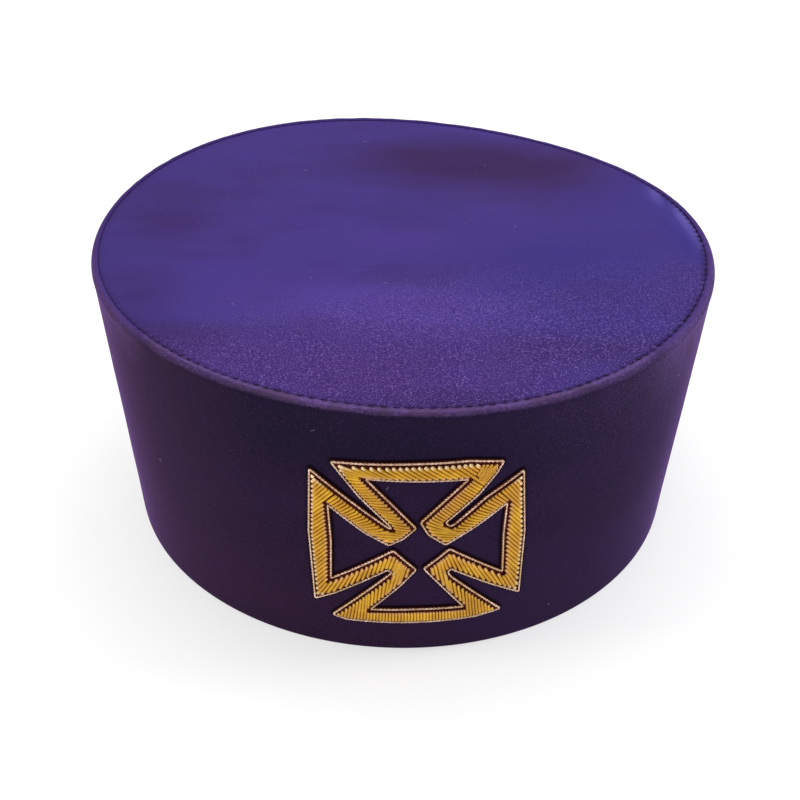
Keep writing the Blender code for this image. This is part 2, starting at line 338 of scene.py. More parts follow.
def arc(centre, radius, start, end, steps):
    """Points along an arc in the (radius, height) plane, between two angles in degrees."""
    turns = [math.radians(start + (end - start) * step / steps) for step in range(steps + 1)]
    return [step_from(centre, turn, radius) for turn in turns]


def on_wall(across, up, out):
    """A place on the cap's front: along its curve, up its slope from the cross's centre, and out from it."""
    slope = math.atan2(TOP_RADIUS - BASE_RADIUS, HEIGHT)
    height = EMBLEM_HEIGHT + up * math.cos(slope)
    radius = wall_radius(height) + out * math.cos(slope)
    return settle(round_cap(radius, across / wall_radius(height), height - out * math.sin(slope)))


def cord_loop(side):
    """The line of the outer or the inner cord, in metres in the cross's own plane."""
    return [(row[side][0] * EMBLEM_HALF, row[side][1] * EMBLEM_HALF) for row in EMBLEM_OUTLINE]


def direction(start, end):
    length = math.dist(start, end)
    return (end[0] - start[0]) / length, (end[1] - start[1]) / length


def between(start, end, share):
    return start[0] + (end[0] - start[0]) * share, start[1] + (end[1] - start[1]) * share


def sides_of(loop):
    return list(zip(loop, loop[1:] + loop[:1]))


def corners_of(loop):
    """Each corner of a closed loop, between the one before it and the one after it."""
    return zip(loop[-1:] + loop[:-1], loop, loop[1:] + loop[:1])


def inset(loop, distance):
    """Moves each side of a clockwise loop to its right by a distance, keeping its corners sharp."""
    moved = []
    for before, corner, after in corners_of(loop):
        come = direction(before, corner)
        leave = direction(corner, after)
        reach = distance / (1 + come[1] * leave[1] + come[0] * leave[0])
        moved.append((corner[0] + (come[1] + leave[1]) * reach, corner[1] - (come[0] + leave[0]) * reach))
    return moved


def rounded(loop, radius, steps):
    """Replaces each corner of a closed loop by a short curve that leaves its sides near the radius away."""
    points = []
    for before, corner, after in corners_of(loop):
        start = between(corner, before, min(0.45, radius / math.dist(corner, before)))
        end = between(corner, after, min(0.45, radius / math.dist(corner, after)))
        for step in range(steps + 1):
            share = step / steps
            points.append(between(between(start, corner, share), between(corner, end, share), share))
    return points


def away_from(sides, place):
    """The distance from a place to the nearest of many straight sides."""
    nearest = 1.0
    for start, end in sides:
        span = (end[0] - start[0], end[1] - start[1])
        step = (place[0] - start[0], place[1] - start[1])
        share = (step[0] * span[0] + step[1] * span[1]) / (span[0] ** 2 + span[1] ** 2)
        nearest = min(nearest, math.dist(place, between(start, end, held(share))))
    return nearest


def reach_of(place, turn, sides):
    """How far a stitch runs from a place in a direction: it stops a little short of the side it meets."""
    heading = (math.cos(turn), math.sin(turn))
    nearest = 1.0
    for start, end in sides:
        span = (end[0] - start[0], end[1] - start[1])
        step = (start[0] - place[0], start[1] - place[1])
        cross = heading[0] * span[1] - heading[1] * span[0]
        if abs(cross) < 1e-12:
            continue
        far = (step[0] * span[1] - step[1] * span[0]) / cross
        share = (step[0] * heading[1] - step[1] * heading[0]) / cross
        if far > 1e-6 and -1e-6 <= share <= 1 + 1e-6:
            slant = abs(cross) / math.hypot(*span)
            nearest = min(nearest, far - WIRE_SHORT / max(0.4, slant))
    return max(0.0, nearest)


class Finish:
    """A material being put together: short calls for the nodes that these finishes share."""

    def __init__(self, name):
        self.material = bpy.data.materials.new(name)
        self.material.use_nodes = True
        self.tree = self.material.node_tree

    def feed(self, socket, value):
        """Gives an input another node's output, or else its own number or colour."""
        if isinstance(value, bpy.types.NodeSocket):
            self.tree.links.new(value, socket)
        elif socket.type == "RGBA":
            socket.default_value = (*value, 1.0)
        else:
            socket.default_value = value

    def wired(self, kind, output, inputs, **settings):
        """Adds a node, feeds its inputs and gives one of its outputs."""
        made = self.tree.nodes.new("ShaderNode" + kind)
        for name, value in settings.items():
            setattr(made, name, value)
        for name, value in inputs.items():
            self.feed(made.inputs[name], value)
        return made.outputs[output]

    def places(self, stretch=(1.0, 1.0, 1.0), kind="Object"):
        """Object coordinates, or by UV the piece's own, in metres along and across its cloth or wire."""
        source = self.wired("TexCoord", kind, {})
        return self.wired("Mapping", "Vector", {"Vector": source, "Scale": stretch})

    def mottle(self, scale, detail=2.0, roughness=0.5, places=None):
        """Soft noise from 0 to 1."""
        places = places or self.places()
        inputs = {"Vector": places, "Scale": scale, "Detail": detail, "Roughness": roughness}
        return self.wired("TexNoise", "Fac", inputs)

    def axis(self, kind, letter):
        """One of the Object or UV coordinates, in metres."""
        source = self.wired("TexCoord", kind, {})
        return self.wired("SeparateXYZ", letter, {"Vector": source})

    def attribute(self, name):
        return self.wired("Attribute", "Fac", {}, attribute_name=name)

    def ranged(self, value, low, high, most=1.0, least=0.0):
        """Maps low to high onto least to most, held at the ends."""
        inputs = {"Value": value, "From Min": low, "From Max": high, "To Min": least, "To Max": most}
        return self.wired("MapRange", "Result", inputs)

    def sum(self, operation, first, second=0.0):
        """One operation of the Math node on two sockets or numbers."""
        return self.wired("Math", "Value", {0: first, 1: second}, operation=operation)

    def times(self, first, second):
        return self.sum("MULTIPLY", first, second)

    def swing(self, value, size):
        """A noise of 0 to 1 as one that swings about nothing, by half the size each way."""
        return self.times(self.sum("SUBTRACT", value, 0.5), size)

    def blend(self, share, first, second):
        """Mixes two colours, each a socket or three numbers."""
        return self.wired("Mix", 2, {0: share, 6: first, 7: second}, data_type="RGBA")

    def layered(self, colour, *layers):
        """Lays tints over a colour one after another, each by its own share."""
        for share, tint in layers:
            colour = self.blend(share, colour, tint)
        return colour

    def bump(self, height, strength, distance):
        inputs = {"Height": height, "Strength": strength, "Distance": distance}
        return self.wired("Bump", "Normal", inputs)

    def seam_shade(self):
        """Painted shade in the seam's groove, deepest in the pits that its stitches pull, no two quite alike.
        """
        turn = self.times(self.axis("UV", "X"), SEAM_STITCHES / TOP_RADIUS)
        turn = self.times(self.sum("COSINE", turn), 0.6)
        chance = self.swing(self.mottle(330.0, 1.0), 3.0)
        pits = self.ranged(self.sum("ADD", turn, chance), -1.1, 0.75)
        return self.times(pits, self.attribute("seam"))

    def finished(self, colour, numbers, normal=None):
        """Gives the shader its colour, its constant numbers and its relief, and returns the material."""
        shader = self.tree.nodes["Principled BSDF"]
        for name, value in {"Base Color": colour, **numbers}.items():
            self.feed(shader.inputs[name], value)
        if normal:
            self.feed(shader.inputs["Normal"], normal)
        return self.material

    def piled(self, colour, numbers, pile, tufts, strength):
        """Finishes a velvet, with its sheen and the relief of its pile and tufts."""
        names = ("Roughness", "Specular IOR Level", "Sheen Weight", "Sheen Roughness", "Sheen Tint")
        relief = self.sum("ADD", pile, self.times(tufts, 0.8))
        return self.finished(colour, dict(zip(names, numbers)), self.bump(relief, strength, PILE_RELIEF))


def crown_velvet():
    """Blue-violet velvet in the painted light and shade of its brushed nap, with lilac specks and dark pits
    in front.
    """
    made = Finish("crown velvet")
    strokes = made.mottle(1.0, 3.0, 0.6, made.places((22.0, 95.0, 22.0)))
    pile = made.mottle(2100.0, 2.0, 0.65)
    tufts = made.mottle(1500.0, 2.0, 0.6)
    drift = made.sum("ADD", made.swing(made.mottle(26.0, 3.0), 0.8), made.swing(strokes, 0.5))
    colour = (0.039, 0.022, 0.155)
    shares = {}
    for tone, operation, start, tint in CROWN_TONES:
        shares[tone] = made.ranged(made.sum(operation, made.attribute(tone), drift), start, 1.0)
        colour = made.blend(shares[tone], colour, tint)
    speckle = made.attribute("speckle")
    specks = made.times(made.ranged(pile, 0.53, 0.68), speckle)
    colour = made.layered(
        colour,
        # painted highlight: the pale tone by the right edge
        (made.attribute("pale"), (0.105, 0.082, 0.350)),
        (made.times(specks, made.ranged(shares["blue"], 0.9, 0.2, 0.85, 0.55)), (0.205, 0.125, 0.410)),
        (made.times(made.ranged(tufts, 0.50, 0.34, 0.90), speckle), (0.024, 0.010, 0.092)),
        (made.seam_shade(), (0.004, 0.001, 0.010)),
    )
    return made.piled(colour, (0.92, 0.10, 0.20, 0.42, (0.50, 0.34, 1.0)), pile, tufts, 0.55)


def side_velvet():
    """Very dark plum velvet: near black face on, violet where the eye meets the pile side on."""
    made = Finish("side velvet")
    drift = made.swing(made.mottle(1.0, 3.0, 0.6, made.places((14.0, 14.0, 34.0))), 1.6)
    pile = made.mottle(1500.0, 2.0, 0.65)
    tufts = made.mottle(420.0, 2.0, 0.6)
    streak = made.mottle(1.0, 3.0, 0.65, made.places((620.0, 1500.0, 1.0), "UV"))
    across = made.axis("Object", "X")
    # painted light: the wall lightens towards the bottom as if lit from the floor, and is darkest, in painted
    # shade, under the rim
    low = made.sum("ADD", made.ranged(made.axis("Object", "Z"), 0.088, 0.015), drift)
    # painted light: the wall turns bluer and lighter towards the right
    right = made.sum("ADD", made.ranged(across, -0.03, 0.09), drift)
    # painted sheen: a lighter purple along the far left
    left = made.sum("ADD", across, made.times(drift, 0.01))
    # the roll's lighter tone: rubbed pile together with painted highlight and painted sheen
    wear_and_highlight = made.attribute("ridge")
    ridge = made.ranged(made.sum("ADD", wear_and_highlight, made.swing(pile, 0.7)), 0.0, 1.0)
    roll = made.layered(
        (0.076, 0.035, 0.132),
        (made.ranged(streak, 0.34, 0.66), (0.158, 0.094, 0.272)),
        (made.ranged(made.mottle(110.0), 0.49, 0.63, 0.7), (0.086, 0.047, 0.094)),
    )
    # tints in turn: painted light at the bottom, the right and the far left; pile flecks; the roll's rubbed
    # pile with painted highlight; violet by the seam; painted shade round the cross and in the seam
    colour = made.layered(
        (0.012, 0.007, 0.024),
        (made.ranged(low, 0.0, 1.0), (0.025, 0.009, 0.030)),
        (made.ranged(right, 0.0, 1.0, 0.8), (0.021, 0.011, 0.046)),
        (made.ranged(left, -0.045, -0.095), (0.036, 0.014, 0.044)),
        (made.ranged(pile, 0.50, 0.75, 0.45), (0.045, 0.024, 0.078)),
        (made.times(ridge, made.ranged(wear_and_highlight, 0.0, 0.2)), roll),
        (made.attribute("violet"), (0.052, 0.028, 0.165)),
        # painted shade round the cords of the cross
        (made.attribute("pressed_shade"), (0.004, 0.002, 0.005)),
        (made.seam_shade(), (0.004, 0.001, 0.008)),
    )
    return made.piled(colour, (0.93, 0.06, 0.32, 0.25, (0.55, 0.25, 0.95)), pile, tufts, 0.40)


def backing_cloth():
    """The plain dark weave of the backing inside."""
    made = Finish("woven backing")
    inputs = {"Vector": made.places(kind="UV"), "Scale": 260.0, "Distortion": 0.6}
    warp, weft = (made.wired("TexWave", "Fac", inputs, bands_direction=way) for way in "XY")
    weave = made.sum("MAXIMUM", warp, weft)
    slub = made.ranged(made.mottle(60.0, 3.0), 0.3, 0.7)
    colour = made.blend(slub, (0.030, 0.020, 0.040), (0.050, 0.035, 0.062))
    colour = made.blend(made.times(weave, 0.35), (0.012, 0.008, 0.016), colour)
    numbers = {"Roughness": 0.88, "Specular IOR Level": 0.25}
    return made.finished(colour, numbers, made.bump(weave, 0.5, 0.00015))


def gold_wire():
    """Coiled gilt wire: amber, cream by the outer cord as a painted highlight, coppery by the inner one, with
    a painted highlight along each crest and painted shade on the flanks between stitches.
    """
    made = Finish("gold wire")
    tone = made.attribute("tone")
    gold = made.blend(tone, (0.43, 0.185, 0.006), (0.67, 0.365, 0.030))
    warm = made.blend(tone, (0.38, 0.14, 0.018), (0.62, 0.295, 0.07))
    patch = made.mottle(130.0, 2.0, 0.6)
    crest = made.attribute("crest")
    shine = made.attribute("shine")
    # painted shade on the flanks grows darker beside the cords
    by_cord = made.ranged(made.sum("ABSOLUTE", shine), 0.1, 0.6)
    flank_shade = made.blend(by_cord, (0.30, 0.115, 0.008), (0.085, 0.016, 0.004))
    colour = made.layered(
        gold,
        (made.times(made.attribute("copper"), 0.8), warm),
        (made.ranged(made.mottle(420.0), 0.62, 0.34, 0.30), (0.30, 0.11, 0.010)),
        (made.ranged(patch, 0.52, 0.66, 0.45), (0.34, 0.145, 0.020)),
        (made.ranged(patch, 0.48, 0.34, 0.45), (0.80, 0.49, 0.030)),
        # painted highlight: a bright line along each wire's crest
        (made.ranged(crest, 0.72, 0.98, 0.35), (0.90, 0.55, 0.085)),
        # painted highlight: cream ends of the stitches by the outer cord
        (made.ranged(shine, 0.15, 0.80, 0.9), (0.98, 0.76, 0.45)),
        (made.ranged(shine, -0.20, -0.80, 0.7), (0.74, 0.41, 0.20)),
        # painted shade on each wire's flanks
        (made.ranged(crest, 0.50, 0.10), flank_shade),
    )
    inputs = {"Vector": made.places((1.0, 1100.0, 1.0), "UV"), "Scale": 1.0}
    coil = made.wired("TexWave", "Fac", inputs, bands_direction="Y")
    return made.finished(colour, {"Metallic": 1.0, "Roughness": 0.32}, made.bump(coil, 0.35, 0.00006))


def cord_wire():
    """The twisted edging cord, a paler rose gold."""
    made = Finish("cord wire")
    colour = made.layered(
        (0.60, 0.37, 0.25),
        (made.ranged(made.mottle(700.0), 0.35, 0.65), (0.98, 0.75, 0.58)),
        (made.ranged(made.mottle(55.0, 1.0), 0.46, 0.66, 0.7), (0.70, 0.48, 0.20)),
    )
    return made.finished(colour, {"Metallic": 0.85, "Roughness": 0.38})


def pad_felt():
    """The dark red-brown felt under the wire, with painted shadow, nearly black, along its edge just past the
    cords.
    """
    made = Finish("pad felt")
    colour = made.layered(
        (0.055, 0.008, 0.006),
        (made.ranged(made.mottle(1800.0), 0.3, 0.7), (0.115, 0.016, 0.010)),
        # painted shadow round the cords, on the pad's edge
        (made.attribute("edge"), (0.006, 0.002, 0.004)),
    )
    return made.finished(colour, {"Roughness": 0.95, "Specular IOR Level": 0.05})


def plain_finish(name, scale, detail, dark, light, numbers):
    """A finish of two tones in soft noise."""
    made = Finish(name)
    return made.finished(made.blend(made.mottle(scale, detail), dark, light), numbers)


def placed(data):
    """Puts a mesh, a curve, a light or a camera in the scene, under its own name."""
    made = bpy.data.objects.new(data.name, data)
    bpy.context.scene.collection.objects.link(made)
    return made


def piece_from(mesh, slot, *finishes):
    """Puts a finished mesh in the scene as a piece of the cap."""
    made = placed(mesh)
    for finish in finishes:
        mesh.materials.append(finish)
    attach(made, "root")
    return made


def mesh_from(name, shape):
    mesh = bpy.data.meshes.new(name)
    shape.to_mesh(mesh)
    shape.free()
    mesh.shade_smooth()
    return mesh


def spun(profile, closed):
    """Spins a profile in the (radius, height) plane once round. Each point keeps how far along it lies."""
    shape = bmesh.new()
    along = shape.verts.layers.float.new("along")
    corners = []
    travelled = 0.0
    for index, (radius, height) in enumerate(profile):
        if index:
            travelled += math.dist(profile[index - 1], (radius, height))
        corner = shape.verts.new((radius, 0.0, height))
        corner[along] = travelled
        corners.append(corner)
    lines = [shape.edges.new(pair) for pair in zip(corners, corners[1:])]
    if closed:
        lines.append(shape.edges.new((corners[-1], corners[0])))
    bmesh.ops.spin(
        shape,
        geom=corners + lines,
        axis=(0, 0, 1),
        cent=(0, 0, 0),
        angle=2 * math.pi,
        steps=SEAM_STITCHES * COLUMNS_PER_STITCH,
        use_merge=True,
        use_duplicate=False,
    )
    bmesh.ops.remove_doubles(shape, verts=shape.verts, dist=1e-6)
    bmesh.ops.recalc_face_normals(shape, faces=shape.faces)
    return shape, along


def seam_shows(x, y):
    """How deep the seam lies in the pile: most in front and on the right, least at the left and back."""
    return 0.3 + 0.7 * held((0.1 + (0.45 * x - y) / math.hypot(x, y)) / 0.5)


def seam_drift(point, from_seam):
    """Outward step near the seam, which lies nearer the edge at the cap's left and right than in front."""
    sideways = point.x / math.hypot(point.x, point.y)
    most = SEAM_DRIFT_LEFT if sideways < 0 else SEAM_DRIFT_RIGHT
    return most * sideways * sideways * bell(from_seam, SEAM_DRIFT_REACH)


def lay_cloth(shape, along):
    """Gives spun cloth a UV map in metres: round the cap, and along the profile."""
    cloth = shape.loops.layers.uv.new("cloth")
    for face in shape.faces:
        centre = face.calc_center_median()
        middle = math.atan2(centre.x, -centre.y)
        lengths = [loop.vert[along] for loop in face.loops]
        wraps = max(lengths) - min(lengths) > PROFILE_WRAPS
        for loop in face.loops:
            angle = math.atan2(loop.vert.co.x, -loop.vert.co.y)
            angle -= math.tau * round((angle - middle) / math.tau)
            run = loop.vert[along]
            if wraps and run < PROFILE_WRAPS:
                run += max(lengths)
            loop[cloth].uv = (angle * TOP_RADIUS, run)


def stitch_pull(x, y):
    """1 at the angle of a seam stitch, falling to -1 halfway between two."""
    return math.cos(SEAM_STITCHES * math.atan2(x, -y))


def near_seam(distance, reach):
    """1 on the seam and past it, falling softly to nothing at about twice the reach."""
    return bell(max(0.0, distance), reach)


def side_profile():
    """The side's profile: a foot with rounded corners, the outer wall, the rolled shoulder, the inside."""
    shoulder = SHOULDER_RADIUS
    inner_base = BASE_RADIUS - BAND_THICKNESS
    profile = arc((BASE_RADIUS - FOOT_ROUND, FOOT_ROUND), FOOT_ROUND, -90, 0, 4)
    for step in range(1, WALL_ROWS):
        height = FOOT_ROUND + (HEIGHT - shoulder - FOOT_ROUND) * step / WALL_ROWS
        profile.append((wall_radius(height), height))
    profile += arc((TOP_RADIUS - shoulder, HEIGHT - shoulder), shoulder, 0, 90, 15)
    profile += arc((SEAM_RADIUS + SEAM_ROUND, HEIGHT - SEAM_ROUND), SEAM_ROUND, 90, 180, 5)
    profile.append((SEAM_RADIUS, HEIGHT - SEAM_DEPTH))
    for step in range(INNER_ROWS):
        height = (HEIGHT - INNER_SINK) * (1 - step / INNER_ROWS)
        profile.append((wall_radius(height) - BAND_THICKNESS, height))
    return profile + arc((inner_base + FOOT_ROUND, FOOT_ROUND), FOOT_ROUND, 180, 270, 3)[:-1]


def rim_tones(radial, run, roll_share, front, point):
    """How light the pile looks, and how violet, at a place this far from the seam down the outside: rubbed
    pile with a painted highlight on the roll, painted sheen at the sides, painted light at the right.
    """
    # painted highlight: a bright line along the roll just below the seam
    strand = 0.55 * bell(run - 0.0012, 0.0007) + 0.68 - 0.32 * run / ROLL_WIDE
    crest = min(1.0, strand * (1 + 0.35 * noise.noise(point * 90.0)))
    # painted sheen: a lilac haze on the upper wall at the sides
    haze = (0.40 * bell(run, 0.014) + 0.25 * bell(run, 0.0035)) * held(0.5 - 2.5 * radial.y)
    ridge = max(haze * (1 - front), roll_share * crest * front)
    # painted light: the upper wall lighter on the right
    ridge += 0.24 * held(1.6 * radial.x - 0.30) * bell(run, 0.030) * (1 - roll_share * front)
    return ridge, 0.85 * (1 - 0.8 * front) * bell(run, 0.0028)


def velvet_side(finish, lining):
    """The side, spun from its profile: a rolled edge of rubbed pile with painted highlight, the seam with its
    painted shade, and the pile pushed in round the cross with painted shade.
    """
    shape, along = spun(side_profile(), True)
    pressed_shade, ridge, seam, violet = (
        shape.verts.layers.float.new(name) for name in ("pressed_shade", "ridge", "seam", "violet"))
    slope = math.atan2(TOP_RADIUS - BASE_RADIUS, HEIGHT)

    def plane_place(point):
        across = math.atan2(point.x, -point.y) * wall_radius(point.z)
        return across, (point.z - EMBLEM_HEIGHT) / math.cos(slope)

    def outside(point):
        return math.hypot(point.x, point.y) > wall_radius(point.z) - 0.4 * BAND_THICKNESS

    def near_cross(point):
        across, up = plane_place(point)
        return outside(point) and abs(across) < 1.10 * EMBLEM_HALF and abs(up) < 1.12 * EMBLEM_HALF

    fine = [edge for edge in shape.edges if near_cross(edge.verts[0].co) and near_cross(edge.verts[1].co)]
    bmesh.ops.subdivide_edges(shape, edges=fine, cuts=1, use_grid_fill=True)
    cords = sides_of(cord_loop(OUTER)) + sides_of(cord_loop(INNER))
    for corner in shape.verts:
        point = corner.co
        radial = Vector((point.x, point.y, 0.0)).normalized()
        below_top = HEIGHT - point.z
        from_seam = math.hypot(point.x, point.y) - SEAM_RADIUS
        run = from_seam + below_top
        front = held((-radial.y - 0.06 * radial.x - 0.60) / 0.12)
        aside = held(1.6 * abs(radial.x) - 0.30)
        width = ROLL_NARROW + (ROLL_WIDE + ROLL_ASIDE * aside - ROLL_NARROW) * front
        width += ROLL_UNEVEN * noise.noise(point * 110.0)
        roll_share = 0.0
        if from_seam > -0.0001:
            roll_share = held((width - run) / ROLL_FADE + 0.5)
            corner[ridge], corner[violet] = rim_tones(radial, run, roll_share, front, point)
        out = 0.0
        if outside(point):
            free = min(1.0, point.z / WALL_FREE) * min(1.0, below_top / WALL_FREE)
            out += WALL_UNEVEN * free * (noise.noise(point * 24.0) + 0.5 * noise.noise(point * 61.0))
            out += ROLL_PROUD * roll_share - ROLL_CREASE * front * bell(run - width - 0.0007, 0.0006)
            if near_cross(point):
                press = near_seam(away_from(cords, plane_place(point)) - 0.0004, PRESS_REACH)
                # painted shade: the pile pushed in round the cords is darkened nearly to black, as the shadow
                # there
                corner[pressed_shade] = 0.85 * press
                out -= PILE_PRESS * press
        if below_top < SEAM_ZONE_DOWN and from_seam < SEAM_ZONE_OUT:
            shows = seam_shows(point.x, point.y)
            corner.co.z -= SEAM_PUCKER * shows * stitch_pull(point.x, point.y) * near_seam(from_seam, 0.0007)
            corner.co.z += RIM_GRAIN * noise.noise(point * 260.0) * min(1.0, from_seam / 0.0010)
            # how much painted shade the seam's groove gets here
            corner[seam] = shows * near_seam(from_seam, 0.0004)
            out += seam_drift(point, from_seam)
        corner.co += radial * out
    for face in shape.faces:
        centre = face.calc_center_median()
        inward = wall_radius(centre.z) - math.hypot(centre.x, centre.y) > 0.8 * BAND_THICKNESS
        if inward and HEM_DEPTH < centre.z < HEIGHT - 0.0012:
            face.material_index = 1
    lay_cloth(shape, along)
    for corner in shape.verts:
        corner.co = settle(corner.co)
    made = piece_from(mesh_from("velvet_side", shape), "side_velvet", finish, lining)
    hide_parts("side_band")


def nap_at(tone, across, back):
    """How much of one tone the crown's nap shows at a place given as shares of TOP_RADIUS."""
    total = 0.0
    for kind, middle_across, middle_back, wide, deep, amount in NAP_MARKS:
        if kind == tone:
            away = math.hypot((across - middle_across) / wide, (back - middle_back) / deep)
            total += amount * bell(away, 1.0)
    return min(1.0, total)


def velvet_crown(finish, lining):
    """The crown: one disc of velvet over a stiff backing, turned down at its edge into the seam."""
    top = HEIGHT - CROWN_SINK
    under = top - CROWN_THICKNESS
    edge = SEAM_RADIUS - SEAM_CLEAR
    flat = edge - SEAM_ROUND
    profile = [(0.0, under)]
    profile += [(edge * step / 8, under) for step in range(1, 9)]
    profile += arc((flat, top - SEAM_ROUND), SEAM_ROUND, 0, 90, 6)
    profile += [(flat - inwards, top) for inwards in (0.0005, 0.0011, 0.0019)]
    profile += [(flat * (1 - step / CROWN_RINGS), top) for step in range(1, CROWN_RINGS)]
    profile.append((0.0, top))
    shape, along = spun(profile, False)
    tones = {tone: shape.verts.layers.float.new(tone) for tone in ("plum", "rose", "lilac", "blue", "pale")}
    speckle = shape.verts.layers.float.new("speckle")
    seam = shape.verts.layers.float.new("seam")
    for face in shape.faces:
        if face.calc_center_median().z < under + 0.0001:
            face.material_index = 1
    lay_cloth(shape, along)
    for corner in shape.verts:
        x, y, z = corner.co
        across = x / TOP_RADIUS
        back = y / TOP_RADIUS
        for tone, layer in tones.items():
            corner[layer] = nap_at(tone, across, back)
        front = 0.45 * min(0.0, across) + 0.14 * max(0.0, across) - back - 0.25
        corner[speckle] = max(0.10, held(0.3 + 3.0 * front))
        from_edge = edge - math.hypot(x, y)
        shows = seam_shows(x, y) if from_edge < SEAM_ZONE_IN else 0.0
        # how much painted shade the seam's groove gets here
        corner[seam] = shows * near_seam(from_edge, 0.0010)
        if z > under + 0.0002:
            z -= SEAM_PUCKER * shows * stitch_pull(x, y) * near_seam(from_edge, 0.0009)
            z += CROWN_GRAIN * noise.noise(Vector((x, y, 0.0)) * 70.0) * min(1.0, from_edge / 0.004)
        if from_edge < SEAM_ZONE_IN:
            grow = 1 + seam_drift(corner.co, from_edge) / math.hypot(x, y)
            x *= grow
            y *= grow
        corner.co = settle((x, y, z + crown_dent(x, y)))
    made = piece_from(mesh_from("velvet_crown", shape), "crown_velvet", finish, lining)
    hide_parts("crown_panel")


def threads(name, paths, radius, roundness, cyclic=False):
    """Joins many bent round threads in one mesh. Each path is a list of (place, thickness share)."""
    curve = bpy.data.curves.new(name, "CURVE")
    curve.dimensions = "3D"
    curve.bevel_depth = radius
    curve.bevel_resolution = roundness
    for path in paths:
        spline = curve.splines.new("POLY")
        spline.points.add(len(path) - 1)
        for point, (place, thickness) in zip(spline.points, path):
            point.co = (*place, 1.0)
            point.radius = thickness
        spline.use_cyclic_u = cyclic
    holder = placed(curve)
    graph = bpy.context.evaluated_depsgraph_get()
    mesh = bpy.data.meshes.new_from_object(holder.evaluated_get(graph))
    mesh.name = name
    bpy.data.objects.remove(holder)
    bpy.data.curves.remove(curve)
    return mesh


def closed_up(mesh):
    """Closes the open ends of joined threads, and turns all faces outwards."""
    shape = bmesh.new()
    shape.from_mesh(mesh)
    bmesh.ops.holes_fill(shape, edges=[line for line in shape.edges if line.is_boundary])
    bmesh.ops.recalc_face_normals(shape, faces=shape.faces)
    shape.to_mesh(mesh)
    shape.free()
    mesh.shade_smooth()


def cross_pad(finish):
    """The felt pad under the wire: domed between the cords, with a thin edge of painted shadow that shows
    just past them.
    """
    outer = inset(rounded(cord_loop(OUTER), CORD_TURN, 3), -PAD_PAST_CORD)
    inner = inset(rounded(cord_loop(INNER), CORD_TURN, 3), PAD_PAST_CORD)
    pairs = []
    for sides in zip(sides_of(outer), sides_of(inner)):
        steps = max(1, round(max(math.dist(*side) for side in sides) / PAD_STEP))
        pairs += [[between(*side, step / steps) for side in sides] for step in range(steps)]
    cords = sides_of(cord_loop(OUTER)) + sides_of(cord_loop(INNER))
    shape = bmesh.new()
    number = shape.verts.layers.int.new("number")
    edge = shape.verts.layers.float.new("edge")
    ring = [shape.verts.new((*outside, 0.0)) for outside, inside in pairs]
    for index, corner in enumerate(ring):
        corner[number] = index
    front = [shape.edges.new(side) for side in sides_of(ring)]
    for share in PAD_SHARES:
        grown = bmesh.ops.extrude_edge_only(shape, edges=front)["geom"]
        front = [part for part in grown if isinstance(part, bmesh.types.BMEdge)]
        for corner in grown:
            if isinstance(corner, bmesh.types.BMVert):
                corner.co = (*between(*pairs[corner[number]], share), 0.0)
    rim = [line for line in shape.edges if line.is_boundary]
    for corner in shape.verts:
        at_rim = any(line.is_boundary for line in corner.link_edges)
        rise = math.sin(min(1.0, away_from(cords, corner.co[:2]) / CREST_REACH) * math.pi / 2)
        out = PAD_EDGE if at_rim else PAD_LOW + (PAD_CREST - PAD_LOW) * rise
        # the rim just past the cords is marked for painted shadow
        corner[edge] = float(at_rim)
        corner.co = on_wall(*corner.co[:2], out)
    bmesh.ops.bridge_loops(shape, edges=rim)
    bmesh.ops.recalc_face_normals(shape, faces=shape.faces)
    made = piece_from(mesh_from("cross_pad", shape), "gold_wire", finish)
    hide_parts("emblem_strip")


def row_of_stitches(keys, pitch, sides):
    """The stitches spread evenly along a row of keys, each as its two ends and its copper."""
    reached = [0.0]
    for (ax, ay, a_turn, _), (bx, by, b_turn, _) in zip(keys, keys[1:]):
        middle = math.radians((a_turn + b_turn) / 2)
        step = ((bx - ax) * EMBLEM_HALF, (by - ay) * EMBLEM_HALF)
        reached.append(reached[-1] + abs(step[1] * math.cos(middle) - step[0] * math.sin(middle)))
    count = round(reached[-1] / pitch)
    stitches = []
    for number in range(count):
        spot = (number + 0.5) / count * reached[-1]
        index = max(index for index, start in enumerate(reached[:-1]) if start <= spot)
        share = (spot - reached[index]) / (reached[index + 1] - reached[index])
        x, y, turn, copper = (a + (b - a) * share for a, b in zip(keys[index], keys[index + 1]))
        place = (x * EMBLEM_HALF, y * EMBLEM_HALF)
        if in_strip(place, sides):
            stitches.append((across_strip(place, math.radians(turn), sides), copper))
    return stitches


def in_strip(place, sides):
    """Whether a place lies between the cords: a level line to its left crosses an odd number of sides."""
    crossings = 0
    for (ax, ay), (bx, by) in sides:
        if (ay > place[1]) != (by > place[1]):
            crossings += ax + (bx - ax) * (place[1] - ay) / (by - ay) < place[0]
    return crossings % 2 == 1


def across_strip(place, turn, sides):
    """The two ends of a straight stitch through a place between the cords."""
    return [step_from(place, way, reach_of(place, way, sides)) for way in (turn + math.pi, turn)]


def fan_of_stitches(hub, sides):
    """The stitches that spread in the upper arm's right corner, every other one a short filler."""
    stitches = []
    turn = WIRE_FAN["turn_from"]
    while turn > WIRE_FAN["turn_to"]:
        angle = math.radians(turn)
        far = reach_of(hub, angle, sides)
        start = FILLER_FROM * far if len(stitches) % 2 else FAN_START
        stitches.append([step_from(hub, angle, reach) for reach in (start, far)])
        turn -= math.degrees(WIRE_PITCH / max(far, FAN_NEAREST))
    return stitches


def stitch_places(tail, head):
    """Nine places along a stitch, close together near its ends."""
    length = math.dist(tail, head)
    ends = [min(most, reach / length) for most, reach in ((0.08, 0.0003), (0.20, 0.0008), (0.36, 0.0016))]
    shares = (0.0, *ends, 0.5, *(1 - end for end in reversed(ends)), 1.0)
    return [between(tail, head, share) for share in shares]


